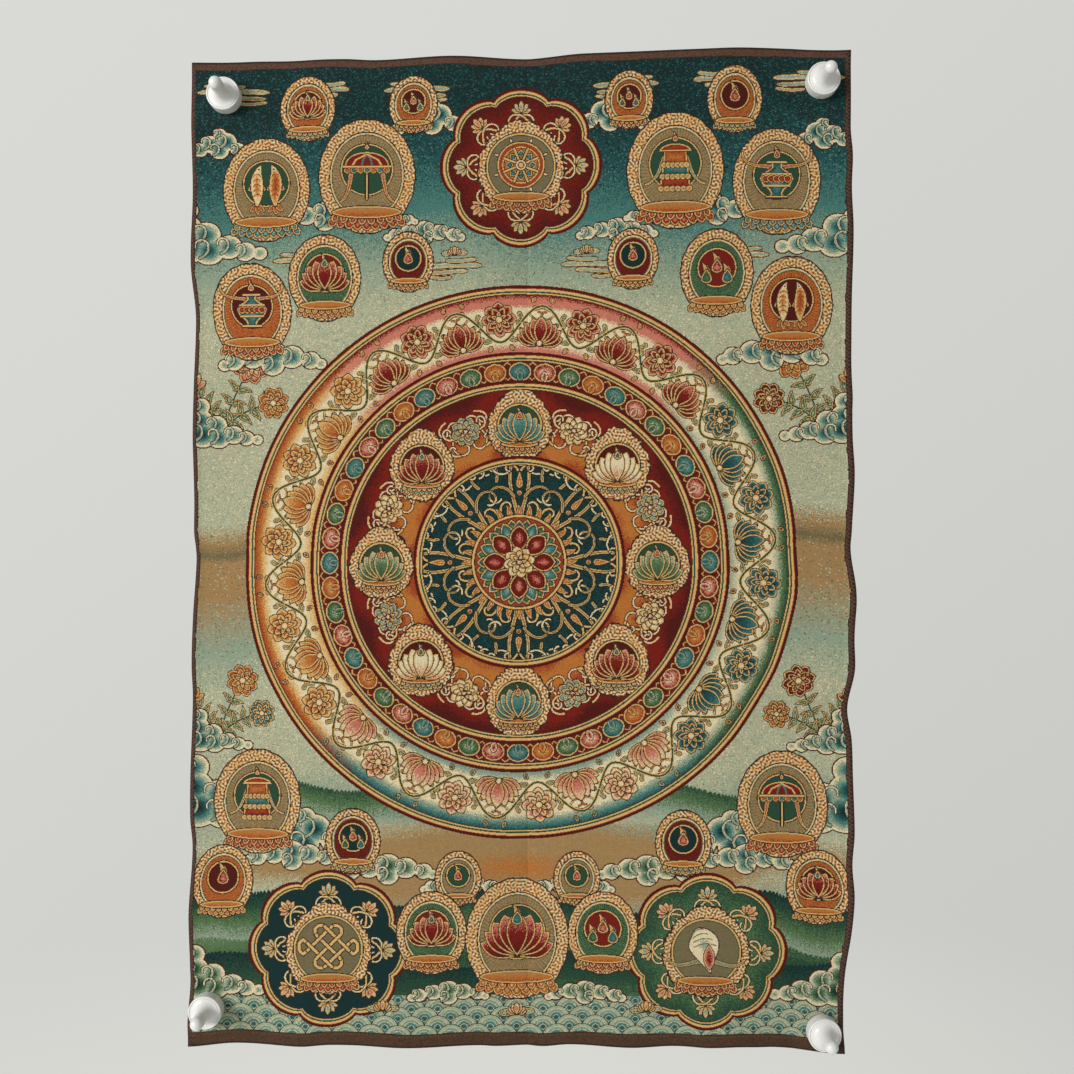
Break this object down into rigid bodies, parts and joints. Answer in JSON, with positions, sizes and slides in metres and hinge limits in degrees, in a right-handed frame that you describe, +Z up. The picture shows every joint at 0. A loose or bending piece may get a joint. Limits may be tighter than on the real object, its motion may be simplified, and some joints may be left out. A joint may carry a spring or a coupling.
{
  "type": "woven thangka hanging with four push pins",
  "caption": "Upright jacquard-woven thangka panel with brown hems, held flat on a wall by large white push pins at its corners.",
  "frame": {"origin": "on the wall plane, at the middle of the panel's top edge", "axes": "+X to the right seen from the front, +Z up, -Y out of the wall towards the viewer"},
  "size_m": [0.6078, 0.0398, 0.9172],
  "materials": {
    "woven_brocade": "jacquard-woven brocade in teal, sage, red, orange and gold thread, soft matt with a slight sheen, brown hems",
    "white_plastic": "moulded white plastic with a satin gloss"
  },
  "bodies": {
    "root": {"cloth_panel": "woven_brocade", "push_pin_top_left": "white_plastic", "push_pin_top_right": "white_plastic", "push_pin_bottom_left": "white_plastic", "push_pin_bottom_right": "white_plastic"}
  },
  "joints": []
}
